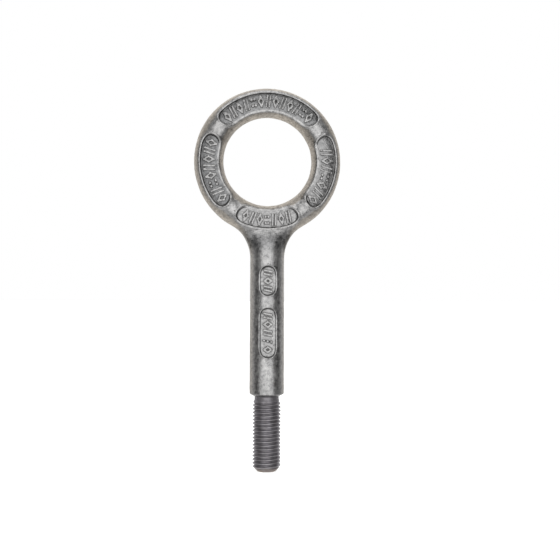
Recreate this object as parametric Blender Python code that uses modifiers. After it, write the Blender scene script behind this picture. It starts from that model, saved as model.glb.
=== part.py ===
"""A forged eye bolt: a round eye on a plain shank, with a conical shoulder and an M16 thread below it.

The real piece is one drop forging. It is modelled as three stretches of that forging, each a closed
solid that meets the next on a plane square to the bolt's axis:

    eye            the ring with its flared neck, and four sunk marking panels
    shank          the plain round stem with two sunk marking panels and the conical shoulder
    threaded_end   the relief groove, the thread and the chamfered tip

Lengths are in metres, with +Z up along the shank. The origin is on the thread's axis at the foot of the
shoulder. The ring lies in the XZ plane, and its marked face looks along -Y.
"""

import math

import bmesh
import bpy
from mathutils import Matrix

MM = 0.001
SEAM_GAP = 0.3 * MM  # clearance that neighbouring solids keep

# Ring: a round bar bent into a circle
HOLE_RADIUS = 24.6 * MM
BAR_RADIUS = 8 * MM
RING_CENTRE_Z = 130 * MM
RING_RADIUS = HOLE_RADIUS + BAR_RADIUS
RING_OUTER_RADIUS = RING_RADIUS + BAR_RADIUS

# Shank: slightly thicker at its foot than under the eye
SHANK_TOP_RADIUS = 9.3 * MM
SHANK_FOOT_RADIUS = 9.55 * MM
SHOULDER_HEIGHT = 1.5 * MM

# Neck: in the ring's plane, a fillet joins the shank's sides to the outside of the ring
FILLET_RADIUS = 17.5 * MM
FILLET_CENTRE_X = SHANK_TOP_RADIUS + FILLET_RADIUS
SHANK_TOP_Z = RING_CENTRE_Z - math.sqrt((RING_OUTER_RADIUS + FILLET_RADIUS) ** 2 - FILLET_CENTRE_X**2)
FILLET_SWEEP = math.radians(56)  # stops just short of the ring, so that the two solids cross clearly
NECK_HALF_DEPTH = 7.7 * MM  # where it goes into the ring
NECK_FULLNESS = 2.7  # exponent of the section's superellipse there, where 2 is an ellipse

# Sunk marking panels: flat floors with half-round ends
RING_FLOOR = 5.9 * MM  # distance of the floors from the ring's middle plane
RING_PANEL_RADIUS = 33 * MM
RING_PANEL_HALF_WIDTH = 4.4 * MM
RING_PANELS = (  # middle and half length, in degrees from +X towards +Z
    (90, 53.5),
    (191, 38.5),
    (270, 32),
    (349, 38.5),
)
SHANK_FLOOR = 7.7 * MM
SHANK_PANEL_HALF_WIDTH = 4.7 * MM
SHANK_PANELS = (  # lower end and upper end along Z
    (21 * MM, 50 * MM),
    (55 * MM, 73 * MM),
)
PANEL_RUN_OUT = 2 * MM  # how far a cutter reaches past the crown that it cuts

# Thread: M16 with its coarse pitch, cut up to a relief groove
PITCH = 2 * MM
CREST_RADIUS = 7.9 * MM
ROOT_RADIUS = 6.86 * MM
ROOT_FLAT = PITCH / 5
CREST_FLAT = PITCH / 8
GROOVE_RUN_OUT = 0.17 * MM  # how far the groove's cutter reaches past the crest
RELIEF_RADIUS = 6.76 * MM
RELIEF_LENGTH = 1.6 * MM
RUN_IN_LENGTH = 2.8 * MM  # the cone from the relief to the full crest
TIP_Z = -41.3 * MM
TIP_RADIUS = 5.3 * MM
TIP_CHAMFER = 2.7 * MM  # along Z

# Facets round the turned and swept shapes
RING_STEPS = 48
BAR_STEPS = 20
STEM_STEPS = 28
NECK_LEVELS = 8
PANEL_END_STEPS = 6
PANEL_SIDE_STEPS = 10
THREAD_STEPS = 20


def clear_scene():
    for obj in list(bpy.data.objects):
        bpy.data.objects.remove(obj)


def new_collection(name):
    collection = bpy.data.collections.new(name)
    bpy.context.scene.collection.children.link(collection)
    return collection


def steel(name, colour, roughness):
    material = bpy.data.materials.new(name)
    material.use_nodes = True
    shader = material.node_tree.nodes["Principled BSDF"]
    shader.inputs["Base Color"].default_value = colour
    shader.inputs["Metallic"].default_value = 1
    shader.inputs["Roughness"].default_value = roughness
    return material


def add_object(name, bm, collection):
    """Links the bmesh as a new object."""
    mesh = bpy.data.meshes.new(name)
    bm.to_mesh(mesh)
    bm.free()
    obj = bpy.data.objects.new(name, mesh)
    collection.objects.link(obj)
    return obj


def add_helper(name, bm):
    """A closed shape that only cuts or joins another one, and isn't a part itself."""
    bmesh.ops.recalc_face_normals(bm, faces=bm.faces)
    obj = add_object(name, bm, helpers)
    obj.hide_render = True
    obj.display_type = "WIRE"
    return obj


def combine(obj, operation, other):
    modifier = obj.modifiers.new(other.name, "BOOLEAN")
    modifier.operation = operation
    modifier.object = other


def finish(obj, material):
    obj.data.materials.append(material)
    obj.data.shade_smooth()
    obj.data.set_sharp_from_angle(angle=math.radians(35))


def turned(name, profile, steps, collection):
    """A solid turned about Z from (radius, z) points, which run from the axis down the outer side."""
    bm = bmesh.new()
    verts = [bm.verts.new((r, 0, z)) for r, z in profile]
    for pair in zip(verts, verts[1:]):
        bm.edges.new(pair)
    obj = add_object(name, bm, collection)
    screw = obj.modifiers.new("turn", "SCREW")
    screw.steps = steps
    screw.render_steps = steps
    screw.use_merge_vertices = True
    screw.merge_threshold = 0.00001
    return obj


def superellipse(half_x, half_y, fullness):
    """Points round a closed section that bulges from an ellipse towards a rectangle."""
    points = []
    for step in range(STEM_STEPS):
        angle = 2 * math.pi * step / STEM_STEPS
        c, s = math.cos(angle), math.sin(angle)
        x = math.copysign(abs(c) ** (2 / fullness), c) * half_x
        y = math.copysign(abs(s) ** (2 / fullness), s) * half_y
        points.append((x, y))
    return points


def neck_sections():
    """(z, half width, half depth, fullness) from the shank up to the middle of the ring's bar."""
    middle_z = RING_CENTRE_Z - RING_RADIUS
    levels = []
    for level in range(NECK_LEVELS):
        angle = FILLET_SWEEP * level / (NECK_LEVELS - 1)
        z = SHANK_TOP_Z + FILLET_RADIUS * math.sin(angle)
        levels.append((z, FILLET_CENTRE_X - FILLET_RADIUS * math.cos(angle)))
    levels.append((middle_z, levels[-1][1]))
    sections = []
    for z, half_width in levels:
        share = (z - SHANK_TOP_Z) / (middle_z - SHANK_TOP_Z)
        ease = share * share * (3 - 2 * share)
        half_depth = SHANK_TOP_RADIUS + (NECK_HALF_DEPTH - SHANK_TOP_RADIUS) * ease
        sections.append((z, half_width, half_depth, 2 + (NECK_FULLNESS - 2) * ease))
    return sections


def make_neck():
    """A loft from the shank's circle to a wide, full section inside the ring."""
    bm = bmesh.new()
    loops = []
    for z, half_width, half_depth, fullness in neck_sections():
        outline = superellipse(half_width, half_depth, fullness)
        loops.append([bm.verts.new((x, y, z)) for x, y in outline])
    for lower, upper in zip(loops, loops[1:]):
        for i in range(STEM_STEPS):
            j = (i + 1) % STEM_STEPS
            bm.faces.new((lower[i], lower[j], upper[j], upper[i]))
    bm.faces.new(loops[0])
    bm.faces.new(loops[-1])
    return add_helper("neck", bm)


def pill(half_length, half_width):
    """Points round a slot with half-round ends, as (along, across)."""
    straight = half_length - half_width
    points = []
    for side in (1, -1):
        for step in range(PANEL_END_STEPS + 1):
            angle = math.pi * step / PANEL_END_STEPS - math.pi / 2
            along = straight + half_width * math.cos(angle)
            points.append((side * along, side * half_width * math.sin(angle)))
        for step in range(1, PANEL_SIDE_STEPS):
            along = straight * (1 - 2 * step / PANEL_SIDE_STEPS)
            points.append((side * along, side * half_width))
    return points


def make_panel_cutter(name, outline, floor, crown):
    """Cuts the (x, z) outline from beyond the crown down to a flat floor at y = -floor."""
    bm = bmesh.new()
    face = bm.faces.new([bm.verts.new((x, -floor, z)) for x, z in outline])
    extruded = bmesh.ops.extrude_face_region(bm, geom=[face])["geom"]
    moved = [item for item in extruded if isinstance(item, bmesh.types.BMVert)]
    bmesh.ops.translate(bm, verts=moved, vec=(0, floor - crown - PANEL_RUN_OUT, 0))
    return add_helper(name, bm)


def ring_panel(middle, half_angle):
    """The outline of a panel that follows the ring."""
    half_length = RING_PANEL_RADIUS * math.radians(half_angle)
    outline = []
    for along, across in pill(half_length, RING_PANEL_HALF_WIDTH):
        angle = math.radians(middle) + along / RING_PANEL_RADIUS
        radius = RING_PANEL_RADIUS + across
        outline.append((radius * math.cos(angle), RING_CENTRE_Z + radius * math.sin(angle)))
    return outline


def make_eye(collection):
    bpy.ops.mesh.primitive_torus_add(
        major_segments=RING_STEPS,
        minor_segments=BAR_STEPS,
        major_radius=RING_RADIUS,
        minor_radius=BAR_RADIUS,
        location=(0, 0, RING_CENTRE_Z),
        rotation=(math.pi / 2, 0, 0),
    )
    eye = bpy.context.object
    eye.name = "eye"
    for home in eye.users_collection:
        home.objects.unlink(eye)
    collection.objects.link(eye)
    combine(eye, "UNION", make_neck())
    for index, (middle, half_angle) in enumerate(RING_PANELS):
        outline = ring_panel(middle, half_angle)
        cutter = make_panel_cutter(f"ring_panel_{index}", outline, RING_FLOOR, BAR_RADIUS)
        combine(eye, "DIFFERENCE", cutter)
    finish(eye, forged)


def make_shank(collection):
    top = SHANK_TOP_Z - SEAM_GAP
    profile = (
        (0, top),
        (SHANK_TOP_RADIUS, top),
        (SHANK_FOOT_RADIUS, SHOULDER_HEIGHT),
        (RELIEF_RADIUS, 0),
        (0, 0),
    )
    shank = turned("shank", profile, STEM_STEPS, collection)
    for index, (low, high) in enumerate(SHANK_PANELS):
        outline = [
            (across, (low + high) / 2 + along)
            for along, across in pill((high - low) / 2, SHANK_PANEL_HALF_WIDTH)
        ]
        cutter = make_panel_cutter(f"shank_panel_{index}", outline, SHANK_FLOOR, SHANK_FOOT_RADIUS)
        combine(shank, "DIFFERENCE", cutter)
    finish(shank, forged)


def make_groove_cutter():
    """The thread's groove: a V with a flat root, swept up a right-hand helix.

    It is turned by half a facet, so that its edges don't lie along those of the solid that it cuts."""
    mouth = (PITCH - CREST_FLAT) / 2
    slope = (mouth - ROOT_FLAT / 2) / (CREST_RADIUS - ROOT_RADIUS)
    outside = (CREST_RADIUS + GROOVE_RUN_OUT, mouth + GROOVE_RUN_OUT * slope)
    section = ((ROOT_RADIUS, ROOT_FLAT / 2), outside)
    outline = [*section, *((r, -z) for r, z in reversed(section))]
    start_z = TIP_Z - PITCH
    turns = math.ceil((-RELIEF_LENGTH + PITCH / 2 - start_z) / PITCH)
    bm = bmesh.new()
    face = bm.faces.new([bm.verts.new((r, 0, start_z + z)) for r, z in outline])
    bmesh.ops.spin(
        bm,
        geom=[face],
        cent=(0, 0, 0),
        axis=(0, 0, 1),
        dvec=(0, 0, PITCH / THREAD_STEPS),
        angle=2 * math.pi * turns,
        steps=THREAD_STEPS * turns,
    )
    half_facet = Matrix.Rotation(math.pi / THREAD_STEPS, 3, "Z")
    bmesh.ops.rotate(bm, verts=bm.verts, cent=(0, 0, 0), matrix=half_facet)
    return add_helper("thread_groove", bm)


def make_threaded_end(collection):
    profile = (
        (0, -SEAM_GAP),
        (RELIEF_RADIUS, -SEAM_GAP),
        (RELIEF_RADIUS, -RELIEF_LENGTH),
        (CREST_RADIUS, -RELIEF_LENGTH - RUN_IN_LENGTH),
        (CREST_RADIUS, TIP_Z + TIP_CHAMFER),
        (TIP_RADIUS, TIP_Z),
        (0, TIP_Z),
    )
    end = turned("threaded_end", profile, THREAD_STEPS, collection)
    combine(end, "DIFFERENCE", make_groove_cutter())
    finish(end, rolled)


clear_scene()
bolt = new_collection("eye_bolt")
helpers = new_collection("helpers")
forged = steel("forged_steel", (0.3, 0.3, 0.3, 1), 0.48)
rolled = steel("rolled_thread", (0.2, 0.2, 0.2, 1), 0.36)
make_eye(bolt)
make_shank(bolt)
make_threaded_end(bolt)
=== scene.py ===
"""A forged eye bolt round its CAD model: the steel forging, its raised marks and its rolled thread."""

import math

import bmesh
import bpy
from mathutils import Matrix, Vector


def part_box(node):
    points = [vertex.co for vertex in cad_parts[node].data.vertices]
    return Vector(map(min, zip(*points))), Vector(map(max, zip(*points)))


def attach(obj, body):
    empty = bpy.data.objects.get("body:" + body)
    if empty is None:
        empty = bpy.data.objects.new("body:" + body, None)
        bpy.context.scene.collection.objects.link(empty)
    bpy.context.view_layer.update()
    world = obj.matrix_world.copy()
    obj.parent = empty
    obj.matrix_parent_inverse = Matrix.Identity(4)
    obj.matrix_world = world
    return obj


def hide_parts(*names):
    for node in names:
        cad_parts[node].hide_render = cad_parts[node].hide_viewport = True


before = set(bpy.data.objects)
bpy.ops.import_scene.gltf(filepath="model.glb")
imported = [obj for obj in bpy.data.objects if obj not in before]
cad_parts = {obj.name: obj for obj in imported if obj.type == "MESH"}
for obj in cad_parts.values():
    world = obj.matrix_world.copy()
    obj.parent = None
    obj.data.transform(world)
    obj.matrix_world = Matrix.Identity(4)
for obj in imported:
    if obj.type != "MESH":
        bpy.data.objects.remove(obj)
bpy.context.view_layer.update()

# ---- The forging -----------------------------------------------------------------------------------------
# Eye, neck and shank are one drop forging in carbon steel. It is forged between two dies that part in
# the plane of the eye, trimmed, and shot blasted to a bare grey skin. Only its conical shoulder is turned.

MM = 0.001
BAR_RADIUS = 8 * MM
BAR_SIDES = 20
RING_SEGMENTS = 80
SHANK_SIDES = 36
SHANK_TOP_RADIUS = 9.3 * MM
SHANK_FOOT_RADIUS = 9.55 * MM
SHOULDER_HEIGHT = 1.5 * MM
RELIEF_RADIUS = 6.76 * MM
NECK_START = 1.5 * MM  # how far below the CAD eye's foot the neck begins
TOLERANCE = 0.01 * MM

eye_low, eye_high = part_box("eye")
ring_outer = (eye_high.x - eye_low.x) / 2
ring_radius = ring_outer - BAR_RADIUS
ring_centre = Vector((0, 0, eye_high.z - ring_outer))
neck_foot = eye_low.z - NECK_START

# A cage of quads shrinks a little when it is subdivided. These factors give the true radii back.
bar_cage = BAR_RADIUS * 3 / (2 + math.cos(math.tau / BAR_SIDES))
shank_swell = 3 / (2 + math.cos(math.tau / SHANK_SIDES))


def bar_point(theta, phi):
    """A point on the ring's cage: theta from +X towards +Z, phi from the marked face towards the outside."""
    distance = ring_radius + bar_cage * math.sin(phi)
    spot = Vector((distance * math.cos(theta), -bar_cage * math.cos(phi), distance * math.sin(theta)))
    return ring_centre + spot


def bar_angles(point):
    """(theta, phi) of a point on the ring, in degrees. A theta of 270 is the ring's foot, over the neck."""
    spot = point - ring_centre
    theta = math.degrees(math.atan2(spot.z, spot.x)) % 360
    phi = math.degrees(math.atan2(math.hypot(spot.x, spot.z) - ring_radius, -spot.y))
    return theta, phi


forging = bmesh.new()
painted_shade = forging.verts.layers.float.new("painted_shade")
flank = forging.verts.layers.float.new("flank")
section = bmesh.ops.create_circle(forging, segments=BAR_SIDES, radius=bar_cage)["verts"]
bmesh.ops.translate(forging, verts=section, vec=(ring_radius, 0, ring_centre.z))
bmesh.ops.spin(
    forging,
    geom=[*forging.verts, *forging.edges],
    cent=ring_centre,
    axis=(0, 1, 0),
    angle=math.tau,
    steps=RING_SEGMENTS,
    use_merge=True,
)

# The bar's sides kept more of their scale than its two faces, which lay in the bottom of the dies
FLANK_START = 0.68
FLANK_FULL = 0.95


def bar_scale(point):
    """How much scale the ring's bar holds at a point."""
    side_share = abs(math.sin(math.radians(bar_angles(point)[1])))
    return min(1, max(0, side_share - FLANK_START) / (FLANK_FULL - FLANK_START))


for vert in forging.verts:
    vert[flank] = bar_scale(vert.co)

# The ring opens where the neck's fillets run into it
NECK_HALF_ANGLE = 27
NECK_FRONT_PHI = 36
opening = []
for face in forging.faces:
    theta, phi = bar_angles(face.calc_center_median())
    if abs(theta - 270) < NECK_HALF_ANGLE and NECK_FRONT_PHI < phi < 180 - NECK_FRONT_PHI:
        opening.append(face)
bmesh.ops.delete(forging, geom=opening, context="FACES")
mouth_edges = [edge for edge in forging.edges if edge.is_boundary]

# The neck's loops are matched vertex by vertex, in their order round the bolt's axis
SEAM_NUDGE = 0.001  # keeps the vertex on +X the first of its loop


def plan_angle(vert):
    return (math.atan2(vert.co.y, vert.co.x) + SEAM_NUDGE) % math.tau


def round_axis(verts):
    """A loop's vertices in their order round the bolt's axis."""
    return sorted(verts, key=plan_angle)


# The neck's surface runs out along the ring at its sides, and climbs onto the ring's face in front
ARRIVAL_TILT = 0.45
ARRIVAL_POWER = 1.5


def arrival(point):
    """The direction in which the neck's surface runs into the ring at a point of the opening."""
    theta, phi = bar_angles(point)
    side = 1 if theta > 270 else -1
    theta, phi = math.radians(theta), math.radians(phi)
    along_ring = Vector((-math.sin(theta), 0, math.cos(theta))) * side
    outward = Vector((math.cos(theta), 0, math.sin(theta)))
    over_face = outward * -abs(math.cos(phi)) + Vector((0, -math.cos(phi), 0)) * ARRIVAL_TILT
    share = min(1, abs(math.degrees(theta) - 270) / NECK_HALF_ANGLE) ** ARRIVAL_POWER
    return along_ring.lerp(over_face.normalized(), 1 - share).normalized()


# The neck's section: fillets of this radius at its two sides, with webs as thick as twice the edge radius
FILLET_RADIUS = 20 * MM
FILLET_REACH = 0.98
WEB_EDGE_RADIUS = 4.6 * MM
WEB_MARGIN = 1 * MM  # keeps the web's edge blunt where the fillet swings a little wider than its circle
STEM_SINK = 0.2
BLEND_POWER = 5


def neck_depth(x, z, t):
    """Half the neck's depth: the round stem runs on up between two thinner webs with rounded edges."""
    rise = min(z - neck_foot, FILLET_RADIUS * FILLET_REACH)
    side = SHANK_TOP_RADIUS + FILLET_RADIUS - math.sqrt(FILLET_RADIUS**2 - rise**2) + WEB_MARGIN
    inside = min(max(0, side - abs(x)), WEB_EDGE_RADIUS)
    web = math.sqrt(2 * WEB_EDGE_RADIUS * inside - inside**2)
    stem = math.sqrt(max(0, SHANK_TOP_RADIUS**2 - x**2)) * (1 - STEM_SINK * t**2)
    return (web**BLEND_POWER + stem**BLEND_POWER) ** (1 / BLEND_POWER)


# The shank's top circle, with a little scale on its two sides that every loop drawn from it inherits
SHANK_SCALE = 0.17
SHANK_SCALE_START = 0.75
cage_radius = SHANK_TOP_RADIUS * shank_swell
shank_top = bmesh.ops.create_circle(forging, segments=SHANK_SIDES, radius=cage_radius)["verts"]
bmesh.ops.translate(forging, verts=shank_top, vec=(0, 0, neck_foot))
for vert in shank_top:
    side_share = abs(vert.co.x) / cage_radius
    vert[flank] = max(0, side_share - SHANK_SCALE_START) / (1 - SHANK_SCALE_START) * SHANK_SCALE

# The neck: that circle is drawn up step by step on curves that end along the ring. Painted shade makes it
# darkest halfway up.
NECK_STEPS = 7
NECK_SHADE = 0.7
HANDLE_SHARE = 0.32
PLANE_WIDTH = 0.1 * MM
UP = Vector((0, 0, 1))
mouth_verts = {vert for edge in mouth_edges for vert in edge.verts}
ends = [vert.co.copy() for vert in round_axis(mouth_verts)]
starts = [vert.co.copy() for vert in round_axis(shank_top)]
shank_top_edges = list(dict.fromkeys(edge for vert in shank_top for edge in vert.link_edges))
loop_edges = shank_top_edges
for step in range(1, NECK_STEPS):
    t = step / NECK_STEPS
    drawn = bmesh.ops.extrude_edge_only(forging, edges=loop_edges)["geom"]
    loop_edges = [item for item in drawn if isinstance(item, bmesh.types.BMEdge) and item.is_boundary]
    drawn_verts = round_axis([item for item in drawn if isinstance(item, bmesh.types.BMVert)])
    for vert, start, end in zip(drawn_verts, starts, ends):
        handle = (end - start).length * HANDLE_SHARE
        curve = (start, start + UP * handle, end - arrival(end) * handle, end)
        weights = ((1 - t) ** 3, 3 * t * (1 - t) ** 2, 3 * t * t * (1 - t), t**3)
        vert.co = sum((point * weight for point, weight in zip(curve, weights)), Vector())
        vert[painted_shade] = NECK_SHADE * math.sin(math.pi * t) ** 2
        vert[flank] = max(vert[flank], bar_scale(end) * t**3)
        if abs(start.y) > PLANE_WIDTH:
            vert.co.y = math.copysign(neck_depth(vert.co.x, vert.co.z, t), start.y)
bmesh.ops.bridge_loops(forging, edges=loop_edges + mouth_edges)

# The crease where neck and ring meet is dressed smooth, and the outline in the parting plane stays
CREASE_WIDTH = 6 * MM
CREASE_FOOT = neck_foot + 10 * MM
OUTLINE_WIDTH = 1 * MM
DRESSING_PASSES = 5
crease = [
    vert
    for vert in forging.verts
    if vert.co.z > CREASE_FOOT
    and abs(vert.co.y) > OUTLINE_WIDTH
    and min((vert.co - point).length for point in ends) < CREASE_WIDTH
]
for _ in range(DRESSING_PASSES):
    bmesh.ops.smooth_vert(
        forging, verts=crease, factor=0.5, use_axis_x=True, use_axis_y=True, use_axis_z=True
    )

# The shank and its shoulder: the same circle drawn down, with edge loops at the ends of the marking panels.
# Each run is (z of its end, radius there, steps).
SHANK_PANELS = ((21 * MM, 50 * MM), (55 * MM, 73 * MM))
SHANK_RUNS = (
    (SHANK_PANELS[1][1], SHANK_TOP_RADIUS, 2),
    (SHANK_PANELS[1][0], SHANK_TOP_RADIUS + 0.06 * MM, 7),
    (SHANK_PANELS[0][1], SHANK_TOP_RADIUS + 0.08 * MM, 2),
    (SHANK_PANELS[0][0], SHANK_FOOT_RADIUS - 0.06 * MM, 11),
    (SHOULDER_HEIGHT + 0.4 * MM, SHANK_FOOT_RADIUS, 7),
    (SHOULDER_HEIGHT, SHANK_FOOT_RADIUS - 0.05 * MM, 1),
    (SHOULDER_HEIGHT - 0.25 * MM, SHANK_FOOT_RADIUS - 0.45 * MM, 1),
    (0, RELIEF_RADIUS, 2),
    (-0.25 * MM, RELIEF_RADIUS - 0.4 * MM, 1),
)
loop_edges = shank_top_edges
z, radius = neck_foot, SHANK_TOP_RADIUS
for end_z, end_radius, steps in SHANK_RUNS:
    start_z, start_radius = z, radius
    for step in range(1, steps + 1):
        z = start_z + (end_z - start_z) * step / steps
        radius = start_radius + (end_radius - start_radius) * step / steps
        drawn = bmesh.ops.extrude_edge_only(forging, edges=loop_edges)["geom"]
        loop_edges = [item for item in drawn if isinstance(item, bmesh.types.BMEdge) and item.is_boundary]
        for vert in (item for item in drawn if isinstance(item, bmesh.types.BMVert)):
            scale = radius * shank_swell / math.hypot(vert.co.x, vert.co.y)
            vert.co = Vector((vert.co.x * scale, vert.co.y * scale, z))
bmesh.ops.holes_fill(forging, edges=loop_edges, sides=SHANK_SIDES)
bmesh.ops.recalc_face_normals(forging, faces=forging.faces)

# Trimmed flash: a low flat band where the two dies met
FLASH_WIDTH = 1.5 * MM
FLASH_EDGE = 0.25 * MM
FLASH_HEIGHT = 0.1 * MM
FLASH_FOOT = 3 * MM
AXIS_WIDTH = 2 * MM  # edges wholly nearer the axis than this, in the bore, get no flash
parting = []
for edge in forging.edges:
    on_plane = all(abs(vert.co.y) < TOLERANCE and vert.co.z > FLASH_FOOT for vert in edge.verts)
    if on_plane and max(abs(vert.co.x) for vert in edge.verts) > AXIS_WIDTH:
        parting.append(edge)
band = bmesh.ops.bevel(
    forging,
    geom=parting,
    offset=FLASH_WIDTH / 2,
    affect="EDGES",
    segments=1,
    profile=0.5,
    material=-1,
)["faces"]
bmesh.ops.inset_region(
    forging,
    faces=band,
    thickness=FLASH_EDGE,
    depth=FLASH_HEIGHT,
    use_boundary=True,
    use_even_offset=True,
)

# Marking panels: slots with half-round ends and a low bead round each, sunk into the marked face
BEAD_HEIGHT = 0.35 * MM
BEAD_SLOPE = 0.4 * MM
BEAD_CREST = 0.9 * MM
WALL_WIDTH = 0.45 * MM
FILLET_WIDTH = 0.35 * MM
FILLET_HEIGHT = 0.2 * MM
RING_PANEL_PHI = 36  # the faces nearer the bar's front than this become the panel
RING_PANEL_EDGE_PHI = 46  # and their outline is moved out to here
RING_PANEL_HALF_WIDTH = bar_cage * math.sin(math.radians(RING_PANEL_EDGE_PHI))
RING_FLOOR = 6.3 * MM
FLOOR_PASSES = 6
# Each panel on the ring: (middle, half length, how dark the painted shade on its floor is), the first two in
# degrees
RING_PANELS = ((90, 54, 0.8), (191.25, 38.25, 1), (269, 32.5, 0.25), (348.75, 38.25, 0.5))
SHANK_PANEL_HALF_WIDTH = 5.2 * MM
SHANK_PANEL_SECTOR = math.tan(math.radians(30))
SHANK_BEAD = 0.55
# how dark the painted shade on the shank's panel floors is
SHANK_PANEL_SHADE = 0.2
SHANK_FLOOR = 7.6 * MM

# The ring's floors are crowned like the bar itself, and fall away outwards, least over the neck
FLOOR_CROWN_RADIUS = 10 * MM
FLOOR_TILT = math.tan(math.radians(8))
NECK_PANEL_SPAN = 40
NECK_PANEL_FALL = 0.5


def floor_drop(point):
    """How far a floor of the ring lies behind its own middle line at a point."""
    spot = point - ring_centre
    across = math.hypot(spot.x, spot.z) - ring_radius
    drop = across**2 / (2 * FLOOR_CROWN_RADIUS) + across * FLOOR_TILT
    over_neck = across > 0 and abs(bar_angles(point)[0] - 270) < NECK_PANEL_SPAN
    return drop * NECK_PANEL_FALL if over_neck else drop


def inner_loop(faces):
    """The vertices just inside the region's outline, each with its neighbour on the outline."""
    inside = {vert for face in faces for vert in face.verts}
    pairs = {}
    for vert in inside:
        for edge in vert.link_edges:
            other = edge.other_vert(vert)
            if other not in inside:
                pairs[vert] = other
    return pairs


def sink_panel(faces, outline_spot, floor, drop, bead, shade):
    """Rounds the region's outline with outline_spot, then steps it over a bead down to its floor."""
    for vert in {v for face in faces for v in face.verts if any(f not in faces for f in v.link_faces)}:
        vert.co = outline_spot(vert.co)
    # Each step inwards: (its width, how far it rises, how deep it drops, or None)
    steps = (
        (BEAD_SLOPE * bead, -BEAD_HEIGHT * bead, None),
        (BEAD_CREST * bead, 0, None),
        (WALL_WIDTH, 0, floor + FILLET_HEIGHT),
        (FILLET_WIDTH, 0, floor),
    )
    for thickness, rise, depth in steps:
        bmesh.ops.inset_region(
            forging,
            faces=faces,
            thickness=thickness,
            depth=0,
            use_boundary=True,
            use_even_offset=True,
        )
        for vert, neighbour in inner_loop(faces).items():
            vert.co.y = neighbour.co.y + rise
            vert[flank] = 0
            if depth is not None:
                vert.co.y = drop(vert.co) - depth
                vert[painted_shade] = shade
    # The floor and the lower loops of its wall carry painted shade, as dark as shade says
    inner = {v for face in faces for v in face.verts}
    for vert in inner:
        vert.co.y = drop(vert.co) - floor
        vert[painted_shade] = shade
        vert[flank] = 0
    for _ in range(FLOOR_PASSES):
        bmesh.ops.smooth_vert(
            forging,
            verts=[vert for vert in inner if all(face in faces for face in vert.link_faces)],
            factor=0.5,
            use_axis_x=True,
            use_axis_y=False,
            use_axis_z=True,
        )
    for vert in inner:
        vert.co.y = drop(vert.co) - floor


def pill_spot(along, across, half_length, half_width):
    """Moves a point of a rectangle's outline onto the slot with half-round ends that it holds."""
    beyond = abs(along) - (half_length - half_width)
    if beyond <= 0:
        return along, math.copysign(half_width, across)
    reach = math.hypot(beyond, across)
    along = math.copysign(half_length - half_width + beyond * half_width / reach, along)
    return along, across * half_width / reach


# The bead between the lowest panel and the neck stands higher than the others, on the neck's own swell
NECK_RISE = 1.1 * MM
for middle, half_angle, shade in RING_PANELS:
    faces = []
    for face in forging.faces:
        theta, phi = bar_angles(face.calc_center_median())
        away = (theta - middle + 180) % 360 - 180
        if abs(away) < half_angle and abs(phi) < RING_PANEL_PHI and face.calc_center_median().z > neck_foot:
            faces.append(face)
    half_length = ring_radius * math.radians(half_angle)

    def ring_spot(point):
        """Where a point of the panel's outline goes on the ring."""
        theta, phi = bar_angles(point)
        away = (theta - middle + 180) % 360 - 180
        across = bar_cage * math.sin(math.radians(phi))
        along, across = pill_spot(
            ring_radius * math.radians(away), across, half_length, RING_PANEL_HALF_WIDTH
        )
        theta = math.radians(middle) + along / ring_radius
        spot = bar_point(theta, math.asin(across / bar_cage))
        over_neck = max(0, 1 - ((math.degrees(theta) - 270) / NECK_HALF_ANGLE) ** 2)
        spot.y -= NECK_RISE * over_neck * max(0, across / RING_PANEL_HALF_WIDTH)
        return spot

    sink_panel(faces, ring_spot, RING_FLOOR, floor_drop, 1, shade)

for low, high in SHANK_PANELS:
    faces = []
    for face in forging.faces:
        spot = face.calc_center_median()
        if low < spot.z < high and spot.y < 0 and abs(spot.x) < -spot.y * SHANK_PANEL_SECTOR:
            faces.append(face)

    def shank_spot(point):
        """Where a point of the panel's outline goes on the shank."""
        radius = math.hypot(point.x, point.y)
        along, across = pill_spot(
            point.z - (low + high) / 2, point.x, (high - low) / 2, SHANK_PANEL_HALF_WIDTH
        )
        return Vector((across, -math.sqrt(radius**2 - across**2), (low + high) / 2 + along))

    sink_panel(faces, shank_spot, SHANK_FLOOR, lambda point: 0, SHANK_BEAD, SHANK_PANEL_SHADE)


def new_piece(name, bm):
    """The bmesh as a smooth-shaded object that stays at the origin."""
    mesh = bpy.data.meshes.new(name)
    bm.to_mesh(mesh)
    bm.free()
    mesh.shade_smooth()
    piece = bpy.data.objects.new(name, mesh)
    bpy.context.scene.collection.objects.link(piece)
    return piece


forging_piece = new_piece("forging", forging)
subdivision = forging_piece.modifiers.new("forged surface", "SUBSURF")
subdivision.levels = 2
subdivision.render_levels = 2

# Die wear and hand dressing leave the skin slightly uneven: (spacing, depth) of each layer of unevenness
UNEVENNESS = ((7 * MM, 0.22 * MM), (1.6 * MM, 0.07 * MM))
for spacing, depth in UNEVENNESS:
    clouds = bpy.data.textures.new("unevenness", "CLOUDS")
    clouds.noise_scale = spacing
    displace = forging_piece.modifiers.new("unevenness", "DISPLACE")
    displace.texture = clouds
    displace.texture_coords = "LOCAL"
    displace.strength = depth
    displace.mid_level = 0.5


def linear(sheet_colour):
    """A hex sRGB colour as linear RGBA."""
    channels = [int(sheet_colour[i : i + 2], 16) / 255 for i in (1, 3, 5)]
    return [c / 12.92 if c <= 0.04045 else ((c + 0.055) / 1.055) ** 2.4 for c in channels] + [1]


def add_node(material, kind, settings=(), **sockets):
    """Adds a node. Settings are its properties, and each socket is given a value or another node's output."""
    node = material.node_tree.nodes.new(kind)
    for name, value in dict(settings).items():
        setattr(node, name, value)
    for name, value in sockets.items():
        socket = node.inputs[int(name[1:])] if name[1:].isdigit() else node.inputs[name.replace("_", " ")]
        if isinstance(value, bpy.types.NodeSocket):
            material.node_tree.links.new(value, socket)
        else:
            socket.default_value = value
    return node
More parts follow.
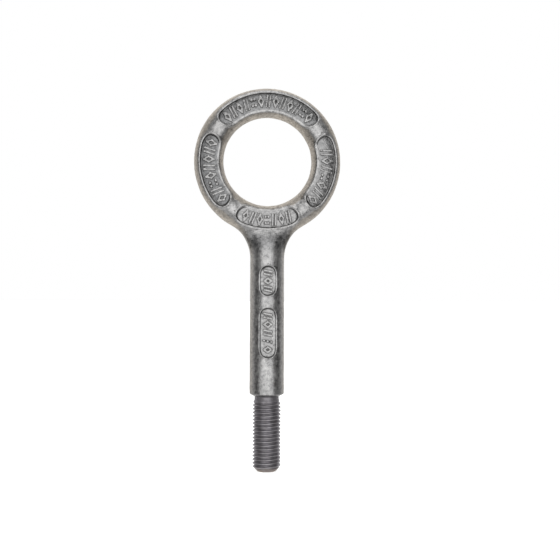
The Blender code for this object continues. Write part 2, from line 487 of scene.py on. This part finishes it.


# As-forged and shot-blasted carbon steel: dull neutral grey metal, mottled and peppered with small dark
# scale pits, rough and beige with scale on the bar's sides, with painted shade in the sunk floors, the neck
# and corners.
METAL_GREYS = ("#7a7a7a", "#bebdbc")
PAINTED_SHADE_TINT = "#a8aaad"
SCALE_BEIGES = ("#b3aea8", "#f5f2ed")
SCALE_TINT = "#e9e2d8"
PIT_COLOUR = "#4a4745"
CORNER_SHADE_COLOUR = "#434241"
PATCH_SIZE = 9 * MM
MOTTLE_SIZE = 1.7 * MM
PIT_SPACING = 1.3 * MM
SHOT_DENT_SIZE = 0.45 * MM  # real dents are finer, and wouldn't show
CORNER_SHADE_REACH = 1.3 * MM
forged_steel = bpy.data.materials.new("forged_steel")
forged_steel.use_nodes = True
shader = forged_steel.node_tree.nodes["Principled BSDF"]
position = add_node(forged_steel, "ShaderNodeTexCoord").outputs["Object"]
patches = add_node(
    forged_steel, "ShaderNodeTexNoise", Vector=position, Scale=1 / PATCH_SIZE, Detail=4, Roughness=0.6
)
mottle = add_node(
    forged_steel, "ShaderNodeTexNoise", Vector=position, Scale=1 / MOTTLE_SIZE, Detail=6, Roughness=0.72
)
specks = add_node(
    forged_steel, "ShaderNodeTexNoise", Vector=position, Scale=1 / PIT_SPACING, Detail=3, Roughness=0.6
)
grain = add_node(
    forged_steel, "ShaderNodeTexNoise", Vector=position, Scale=1 / SHOT_DENT_SIZE, Detail=3, Roughness=0.6
)
mottle_share = add_node(
    forged_steel, "ShaderNodeMapRange", _0=mottle.outputs["Fac"], _1=0.35, _2=0.65, _3=0, _4=1
)
grey = add_node(
    forged_steel,
    "ShaderNodeMix",
    {"data_type": "RGBA"},
    _0=mottle_share.outputs["Result"],
    _6=linear(METAL_GREYS[0]),
    _7=linear(METAL_GREYS[1]),
)

# Painted shade darkens the sunk floors, the neck and the raised marks, as much as their vertices' shade value
# says
painted_shade_fac = add_node(forged_steel, "ShaderNodeAttribute", {"attribute_name": "painted_shade"}).outputs["Fac"]
painted_shade_share = add_node(forged_steel, "ShaderNodeMath", {"operation": "MULTIPLY"}, _0=painted_shade_fac, _1=0.75)
shade_painted_grey = add_node(
    forged_steel,
    "ShaderNodeMix",
    {"data_type": "RGBA", "blend_type": "MULTIPLY"},
    _0=painted_shade_share.outputs[0],
    _6=grey.outputs[2],
    _7=linear(PAINTED_SHADE_TINT),
)

# Beige scale in patches on the bar's sides, as their "flank" says, and a brown tint that starts before it
side = add_node(forged_steel, "ShaderNodeAttribute", {"attribute_name": "flank"}).outputs["Fac"]
scale_cover = add_node(
    forged_steel, "ShaderNodeMapRange", _0=patches.outputs["Fac"], _1=0.38, _2=0.58, _3=0.55, _4=1
)
scale_share = add_node(
    forged_steel, "ShaderNodeMath", {"operation": "MULTIPLY"}, _0=side, _1=scale_cover.outputs["Result"]
)
scale_colour = add_node(
    forged_steel,
    "ShaderNodeMix",
    {"data_type": "RGBA"},
    _0=mottle_share.outputs["Result"],
    _6=linear(SCALE_BEIGES[0]),
    _7=linear(SCALE_BEIGES[1]),
)
scaled = add_node(
    forged_steel,
    "ShaderNodeMix",
    {"data_type": "RGBA"},
    _0=scale_share.outputs[0],
    _6=shade_painted_grey.outputs[2],
    _7=scale_colour.outputs[2],
)
brown_share = add_node(
    forged_steel, "ShaderNodeMapRange", _0=side, _1=0, _2=SHANK_SCALE, _3=0, _4=0.85
)
browned = add_node(
    forged_steel,
    "ShaderNodeMix",
    {"data_type": "RGBA", "blend_type": "MULTIPLY"},
    _0=brown_share.outputs["Result"],
    _6=scaled.outputs[2],
    _7=linear(SCALE_TINT),
)

# Small dark pits where scale came off
speck_share = add_node(
    forged_steel, "ShaderNodeMapRange", _0=specks.outputs["Fac"], _1=0.6, _2=0.72, _3=0, _4=0.7
)
pitted = add_node(
    forged_steel,
    "ShaderNodeMix",
    {"data_type": "RGBA"},
    _0=speck_share.outputs["Result"],
    _6=browned.outputs[2],
    _7=linear(PIT_COLOUR),
)

# Painted shade in corners: ambient occlusion darkens the colour where the surface is hemmed in
openness = add_node(
    forged_steel, "ShaderNodeAmbientOcclusion", {"samples": 8}, Distance=CORNER_SHADE_REACH
).outputs["AO"]
corner_shade_share = add_node(forged_steel, "ShaderNodeMapRange", _0=openness, _1=0.55, _2=0.92, _3=0.9, _4=0)
corner_shaded = add_node(
    forged_steel,
    "ShaderNodeMix",
    {"data_type": "RGBA"},
    _0=corner_shade_share.outputs["Result"],
    _6=pitted.outputs[2],
    _7=linear(CORNER_SHADE_COLOUR),
)
forged_steel.node_tree.links.new(corner_shaded.outputs[2], shader.inputs["Base Color"])

# Bare metal is semi-gloss, and scale is rough and hardly metallic
roughness = add_node(
    forged_steel, "ShaderNodeMapRange", _0=mottle.outputs["Fac"], _1=0.3, _2=0.7, _3=0.27, _4=0.5
)
metal_share = add_node(
    forged_steel, "ShaderNodeMapRange", _0=scale_share.outputs[0], _1=0, _2=1, _3=1, _4=0.3
)
forged_steel.node_tree.links.new(metal_share.outputs["Result"], shader.inputs["Metallic"])
rougher = add_node(
    forged_steel,
    "ShaderNodeMath",
    {"operation": "MULTIPLY_ADD"},
    _0=scale_share.outputs[0],
    _1=0.28,
    _2=roughness.outputs["Result"],
)
forged_steel.node_tree.links.new(rougher.outputs[0], shader.inputs["Roughness"])

# The skin's unevenness: mottle and pits first, then the shot's dents
skin_height = add_node(
    forged_steel,
    "ShaderNodeMath",
    {"operation": "SUBTRACT"},
    _0=mottle.outputs["Fac"],
    _1=speck_share.outputs["Result"],
)
skin = add_node(
    forged_steel, "ShaderNodeBump", Strength=0.6, Distance=0.14 * MM, Height=skin_height.outputs[0]
)
peened = add_node(
    forged_steel,
    "ShaderNodeBump",
    Strength=0.4,
    Distance=0.05 * MM,
    Height=grain.outputs["Fac"],
    Normal=skin.outputs["Normal"],
)
forged_steel.node_tree.links.new(peened.outputs["Normal"], shader.inputs["Normal"])

forging_piece.data.materials.append(forged_steel)
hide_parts("eye", "shank")
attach(forging_piece, "root")

# ---- The raised marks ------------------------------------------------------------------------------------
# Forged in one with the eye bolt: the dies strike a row of raised characters in every panel. These are plain
# slanted bars, dots and lozenges of the same height and stroke, with the dies' draft on their sides.

MARK_HEIGHT = 0.75 * MM
MARK_SINK = 0.3 * MM
MARK_DRAFT = 0.14 * MM
STROKE = 0.8 * MM
RING_MARK_HALF_HEIGHT = 3.2 * MM
SHANK_MARK_HALF_HEIGHT = 2.4 * MM
MARK_GAP = 0.8 * MM
STUD_RADIUS = 0.85 * MM
STUD_SIDES = 16
marks = bmesh.new()


def raise_bar(place, start, end):
    """A bar with drafted sides between two (along, across) spots of a mark."""
    start, end = Vector(start), Vector(end)
    reach = end - start
    height = MARK_HEIGHT + MARK_SINK
    size = Matrix.Diagonal((reach.length + STROKE, STROKE, height, 1))
    turn = Matrix.Rotation(math.atan2(reach.y, reach.x), 4, "Z")
    middle = Matrix.Translation((*((start + end) / 2), height / 2 - MARK_SINK))
    bar = bmesh.ops.create_cube(marks, size=1)["verts"]
    bmesh.ops.transform(marks, matrix=size, verts=bar)
    for vert in bar:
        draft = MARK_DRAFT if vert.co.z < 0 else -MARK_DRAFT
        vert.co.x += math.copysign(draft, vert.co.x)
        vert.co.y += math.copysign(draft, vert.co.y)
    bmesh.ops.transform(marks, matrix=place @ middle @ turn, verts=bar)


def raise_stud(place, spot):
    """A round stud with drafted sides on an (along, across) spot of a mark."""
    height = MARK_HEIGHT + MARK_SINK
    lifted = place @ Matrix.Translation((*spot, height / 2 - MARK_SINK))
    bmesh.ops.create_cone(
        marks,
        cap_ends=True,
        segments=STUD_SIDES,
        radius1=STUD_RADIUS + MARK_DRAFT,
        radius2=STUD_RADIUS - MARK_DRAFT,
        depth=height,
        matrix=lifted,
    )


# The motifs. Each is given half its length along the row and half its height across it.
SLANT_SHIFT = 0.7
SLANT_LEAN = 0.3
STUD_STAGGER = 0.3
STUD_PAIR_ALONG = 0.7
STUD_PAIR_ACROSS = 0.62


def slants(place, along, across):
    """Two parallel slanted bars."""
    for shift in (-SLANT_SHIFT, SLANT_SHIFT):
        raise_bar(place, ((shift - SLANT_LEAN) * along, -across), ((shift + SLANT_LEAN) * along, across))


def studs(place, along, across):
    """Three studs in a leaning line."""
    for row in (-1, 0, 1):
        raise_stud(place, (row * along * STUD_STAGGER, row * across))


def stud_pairs(place, along, across):
    """Two pairs of studs."""
    for row in (-1, 1):
        for column in (-1, 1):
            raise_stud(place, (column * along * STUD_PAIR_ALONG, row * across * STUD_PAIR_ACROSS))


def lozenge(place, along, across):
    """Four bars round a lozenge."""
    corners = [(along, 0), (0, across), (-along, 0), (0, -across)]
    for start, end in zip(corners, corners[1:] + corners[:1]):
        raise_bar(place, start, end)


RING_MOTIFS = (slants, lozenge, slants, stud_pairs, lozenge, slants, lozenge)
SHANK_MOTIFS = (slants, lozenge, slants, studs, lozenge)

# Rows on the ring: (angle of the row's middle, angle of one mark, number of marks)
RING_ROWS = ((90, 7.2, 13), (191.25, 8, 8), (269, 7, 7), (344, 8.2, 7))
for middle, cell, count in RING_ROWS:
    for index in range(count):
        theta = math.radians(middle - (index - (count - 1) / 2) * cell)
        along = Vector((math.sin(theta), 0, -math.cos(theta)))
        across = Vector((math.cos(theta), 0, math.sin(theta)))
        spot = ring_centre + across * ring_radius + Vector((0, -RING_FLOOR, 0))
        place = Matrix.LocRotScale(spot, Matrix((along, across, (0, -1, 0))).transposed(), None)
        half_length = (ring_radius * math.radians(cell) - STROKE - MARK_GAP) / 2
        half_height = RING_MARK_HALF_HEIGHT - STROKE / 2
        RING_MOTIFS[(index + count) % len(RING_MOTIFS)](place, half_length, half_height)
for vert in marks.verts:
    vert.co.y += floor_drop(vert.co)

# Rows on the shank, read downwards: (z of the row's middle, length of one mark, number of marks)
SHANK_ROWS = ((64 * MM, 4.4 * MM, 3), (35.5 * MM, 4.6 * MM, 5))
for middle, cell, count in SHANK_ROWS:
    for index in range(count):
        spot = Vector((0, -SHANK_FLOOR, middle - (index - (count - 1) / 2) * cell))
        place = Matrix.LocRotScale(spot, Matrix(((0, 0, -1), (1, 0, 0), (0, -1, 0))).transposed(), None)
        half_height = SHANK_MARK_HALF_HEIGHT - STROKE / 2
        SHANK_MOTIFS[index](place, (cell - STROKE - MARK_GAP) / 2, half_height)

# The bars of a mark are grown together into one skin, and their edges softened as by a worn die
SKIN_CELL = 0.18 * MM
SOFTENING_PASSES = 3
MARK_SHADE = 0.15
struck = new_piece("struck_marks", marks)
melt = struck.modifiers.new("one skin", "REMESH")
melt.mode = "VOXEL"
melt.voxel_size = SKIN_CELL
soften = struck.modifiers.new("worn edges", "SMOOTH")
soften.factor = 0.5
soften.iterations = SOFTENING_PASSES
bpy.context.view_layer.update()
evaluated = struck.evaluated_get(bpy.context.evaluated_depsgraph_get())
skin_mesh = bmesh.new()
skin_mesh.from_mesh(evaluated.to_mesh())
bpy.data.objects.remove(struck)
# The marks carry a light painted shade all over
shade = skin_mesh.verts.layers.float.new("painted_shade")
for vert in skin_mesh.verts:
    vert[shade] = MARK_SHADE
marks_piece = new_piece("raised_marks", skin_mesh)
marks_piece.data.materials.append(forged_steel)
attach(marks_piece, "root")

# ---- The thread ------------------------------------------------------------------------------------------
# The bolt's lower end, turned down and thread-rolled: a relief groove under the shoulder, a right-hand M16
# thread with its 2 mm pitch, and a chamfered tip. It is the same steel, bare of its forged skin.

PITCH = 2 * MM
CREST_RADIUS = 7.9 * MM
ROOT_RADIUS = 6.8 * MM
CREST_FLAT = PITCH / 8
FLANK_SLOPE = math.tan(math.radians(30))
RELIEF_LENGTH = 1.6 * MM
RUN_IN_LENGTH = 2.8 * MM
TIP_RADIUS = 5.3 * MM
TIP_CHAMFER = 2.7 * MM
THREAD_STEPS = 72
SAMPLES_PER_PITCH = 12
LEAD_TURNS = 2  # swept below the tip and cut off again
SPARE_TURNS = 3
SHARP_ANGLE = math.radians(40)
thread_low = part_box("threaded_end")[0]
thread_top = 0.6 * MM  # hidden inside the shoulder


def thread_radius(z):
    """Radius of the thread's form at a height z on the line where the turn begins."""
    from_crest = abs((z / PITCH + 0.5) % 1 - 0.5) * PITCH
    flank = CREST_RADIUS - max(0, from_crest - CREST_FLAT / 2) / FLANK_SLOPE
    return max(ROOT_RADIUS, flank)


def blank_radius(z):
    """Radius of the turned blank that the thread was rolled on."""
    run_in = RELIEF_RADIUS + max(0, -RELIEF_LENGTH - z) * (CREST_RADIUS - RELIEF_RADIUS) / RUN_IN_LENGTH
    chamfer_start = thread_low.z + TIP_CHAMFER
    chamfer = CREST_RADIUS - max(0, chamfer_start - z) * (CREST_RADIUS - TIP_RADIUS) / TIP_CHAMFER
    return min(CREST_RADIUS, run_in, chamfer)


# The thread's form is a line along the axis that is swept one turn up the helix, merged and cut to length
thread = bmesh.new()
samples = round((thread_top - thread_low.z) / PITCH + SPARE_TURNS) * SAMPLES_PER_PITCH
line = []
for sample in range(samples + 1):
    z = thread_low.z - LEAD_TURNS * PITCH + sample * PITCH / SAMPLES_PER_PITCH
    line.append(thread.verts.new((thread_radius(z), 0, z)))
line_edges = [thread.edges.new(pair) for pair in zip(line, line[1:])]
bmesh.ops.spin(
    thread,
    geom=[*line, *line_edges],
    cent=(0, 0, 0),
    axis=(0, 0, 1),
    dvec=(0, 0, PITCH / THREAD_STEPS),
    angle=math.tau,
    steps=THREAD_STEPS,
)
bmesh.ops.remove_doubles(thread, verts=thread.verts, dist=TOLERANCE)
for cut_z, side in ((thread_low.z, -1), (thread_top, 1)):
    bmesh.ops.bisect_plane(
        thread,
        geom=[*thread.verts, *thread.edges, *thread.faces],
        plane_co=(0, 0, cut_z),
        plane_no=(0, 0, side),
        clear_outer=True,
    )
for vert in thread.verts:
    scale = min(1, blank_radius(vert.co.z) / math.hypot(vert.co.x, vert.co.y))
    vert.co.x *= scale
    vert.co.y *= scale
bmesh.ops.holes_fill(thread, edges=[edge for edge in thread.edges if edge.is_boundary])
bmesh.ops.recalc_face_normals(thread, faces=thread.faces)
thread_piece = new_piece("thread", thread)
thread_piece.data.set_sharp_from_angle(angle=SHARP_ANGLE)

# Turned and rolled carbon steel: grey metal that rolling has polished on the crests and left duller in the
# roots, with painted shade darkening the roots, smudged all over, finely nicked, and brownish with rust at
# the tip.
SHADED_ROOT_GREY = "#a9a7ac"
CREST_GREY = "#c3c1c6"
SMUDGE_TINT = "#8d8784"
RUST_COLOUR = "#a08f7c"
ROOT_ROUGHNESS = 0.56
CREST_ROUGHNESS = 0.34
RUST_FOOT = 0.5 * MM
SMUDGE_SIZE = 2.5 * MM
NICK_SPACING = 0.6 * MM
rolled_steel = bpy.data.materials.new("rolled_steel")
rolled_steel.use_nodes = True
shader = rolled_steel.node_tree.nodes["Principled BSDF"]
shader.inputs["Metallic"].default_value = 1
position = add_node(rolled_steel, "ShaderNodeTexCoord").outputs["Object"]
smudges = add_node(
    rolled_steel, "ShaderNodeTexNoise", Vector=position, Scale=1 / SMUDGE_SIZE, Detail=5, Roughness=0.6
)
flat_position = add_node(
    rolled_steel, "ShaderNodeVectorMath", {"operation": "MULTIPLY"}, _0=position, _1=(1, 1, 0)
)
from_axis = add_node(
    rolled_steel, "ShaderNodeVectorMath", {"operation": "LENGTH"}, _0=flat_position.outputs[0]
)
height = add_node(
    rolled_steel,
    "ShaderNodeMapRange",
    _0=from_axis.outputs["Value"],
    _1=ROOT_RADIUS,
    _2=CREST_RADIUS,
    _3=0,
    _4=1,
)
# Painted shade: the colour darkens from crest to root
metal = add_node(
    rolled_steel,
    "ShaderNodeMix",
    {"data_type": "RGBA"},
    _0=height.outputs["Result"],
    _6=linear(SHADED_ROOT_GREY),
    _7=linear(CREST_GREY),
)
smudged = add_node(
    rolled_steel,
    "ShaderNodeMix",
    {"data_type": "RGBA", "blend_type": "MULTIPLY"},
    _0=smudges.outputs["Fac"],
    _6=metal.outputs[2],
    _7=linear(SMUDGE_TINT),
)
tip_height = add_node(rolled_steel, "ShaderNodeSeparateXYZ", Vector=position).outputs["Z"]
tip_share = add_node(
    rolled_steel,
    "ShaderNodeMapRange",
    _0=tip_height,
    _1=thread_low.z + RUST_FOOT,
    _2=thread_low.z + TIP_CHAMFER,
    _3=1,
    _4=0,
)
rust_share = add_node(
    rolled_steel,
    "ShaderNodeMath",
    {"operation": "MULTIPLY"},
    _0=tip_share.outputs["Result"],
    _1=smudges.outputs["Fac"],
)
rusted = add_node(
    rolled_steel,
    "ShaderNodeMix",
    {"data_type": "RGBA"},
    _0=rust_share.outputs[0],
    _6=smudged.outputs[2],
    _7=linear(RUST_COLOUR),
)
rolled_steel.node_tree.links.new(rusted.outputs[2], shader.inputs["Base Color"])
dullness = add_node(
    rolled_steel,
    "ShaderNodeMapRange",
    _0=height.outputs["Result"],
    _1=0,
    _2=1,
    _3=ROOT_ROUGHNESS,
    _4=CREST_ROUGHNESS,
)
rolled_steel.node_tree.links.new(dullness.outputs["Result"], shader.inputs["Roughness"])
nicks = add_node(
    rolled_steel, "ShaderNodeTexNoise", Vector=position, Scale=1 / NICK_SPACING, Detail=4, Roughness=0.6
)
dented = add_node(
    rolled_steel, "ShaderNodeBump", Strength=0.3, Distance=0.05 * MM, Height=nicks.outputs["Fac"]
)
rolled_steel.node_tree.links.new(dented.outputs["Normal"], shader.inputs["Normal"])
thread_piece.data.materials.append(rolled_steel)
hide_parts("threaded_end")
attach(thread_piece, "root")

# ---- The studio ------------------------------------------------------------------------------------------
# A white surround behind and under the bolt, soft boxes in front of it and above it, dark room on either
# side, and a pale floor of painted board at its tip.

CAMERA_DISTANCE = 0.52
CAMERA_TURN = math.radians(4.5)
CAMERA_ROLL = math.radians(0.22)
VIEW_CENTRE = Vector((7.2 * MM, 0, 64.5 * MM))
VIEW_WIDTH = 311.4 * MM
SENSOR_WIDTH = 36
camera_data = bpy.data.cameras.new("camera")
camera_data.sensor_width = SENSOR_WIDTH
camera_data.lens = SENSOR_WIDTH * CAMERA_DISTANCE / VIEW_WIDTH
camera = bpy.data.objects.new("camera", camera_data)
bpy.context.scene.collection.objects.link(camera)
away = Vector((-math.sin(CAMERA_TURN), -math.cos(CAMERA_TURN), 0))
camera.location = VIEW_CENTRE + away * CAMERA_DISTANCE
level = (-away).to_track_quat("-Z", "Y").to_matrix()
camera.rotation_euler = (level @ Matrix.Rotation(CAMERA_ROLL, 3, "Z")).to_euler()
bpy.context.scene.camera = camera
bpy.context.scene.view_settings.view_transform = "Standard"

FLOOR_SIZE = 4
FLOOR_GAP = 0.1 * MM
floor_mesh = bmesh.new()
bmesh.ops.create_grid(floor_mesh, x_segments=1, y_segments=1, size=FLOOR_SIZE)
bmesh.ops.translate(floor_mesh, verts=floor_mesh.verts, vec=(0, 0, thread_low.z - FLOOR_GAP))
floor = new_piece("floor", floor_mesh)

# Matt painted board, lit through so that it stays an even pale ground. It neither lights the bolt nor
# shows in its gloss.
white_board = bpy.data.materials.new("white_board")
white_board.use_nodes = True
board = white_board.node_tree.nodes["Principled BSDF"]
board.inputs["Base Color"].default_value = linear("#f4f4f2")
board.inputs["Roughness"].default_value = 0.7
board.inputs["Emission Color"].default_value = linear("#ffffff")
board.inputs["Emission Strength"].default_value = 0.7
floor.data.materials.append(white_board)
floor.visible_glossy = False
floor.visible_diffuse = False


def soft_box(name, spot, target, width, height, power):
    """A lamp of width by height metres and power watts that looks from spot to target."""
    data = bpy.data.lights.new(name, "AREA")
    data.shape = "RECTANGLE"
    data.size = width
    data.size_y = height
    data.energy = power
    light = bpy.data.objects.new(name, data)
    light.location = spot
    light.rotation_euler = (Vector(target) - Vector(spot)).to_track_quat("-Z", "Y").to_euler()
    bpy.context.scene.collection.objects.link(light)


soft_box("front_box", (-0.05, -0.8, 0.1), (0, 0, 0.08), width=1.4, height=0.9, power=7.3)
soft_box("top_box", (0, -0.2, 0.9), (0, 0, 0.1), width=0.8, height=0.8, power=3)

# The surround is bright behind, above and below, and dark elsewhere. The camera sees it white all round.
ROOM_DARK = 0.09
world = bpy.data.worlds.new("surround")
bpy.context.scene.world = world
world.use_nodes = True
sky = world.node_tree.nodes["Background"]
direction = add_node(world, "ShaderNodeTexCoord").outputs["Generated"]
axes = add_node(world, "ShaderNodeSeparateXYZ", Vector=direction).outputs
behind = add_node(world, "ShaderNodeMapRange", _0=axes["Y"], _1=-0.05, _2=0.5, _3=ROOM_DARK, _4=1)
above = add_node(world, "ShaderNodeMapRange", _0=axes["Z"], _1=0.3, _2=0.9, _3=ROOM_DARK, _4=0.6)
below = add_node(world, "ShaderNodeMapRange", _0=axes["Z"], _1=-0.25, _2=-0.75, _3=ROOM_DARK, _4=0.9)
over_under = add_node(
    world, "ShaderNodeMath", {"operation": "MAXIMUM"}, _0=above.outputs["Result"], _1=below.outputs["Result"]
)
around = add_node(
    world,
    "ShaderNodeMath",
    {"operation": "MAXIMUM"},
    _0=behind.outputs["Result"],
    _1=over_under.outputs[0],
)
seen = add_node(world, "ShaderNodeLightPath").outputs["Is Camera Ray"]
brightness = add_node(world, "ShaderNodeMath", {"operation": "MAXIMUM"}, _0=around.outputs[0], _1=seen)
world.node_tree.links.new(brightness.outputs[0], sky.inputs["Strength"])
sky.inputs["Color"].default_value = linear("#ffffff")
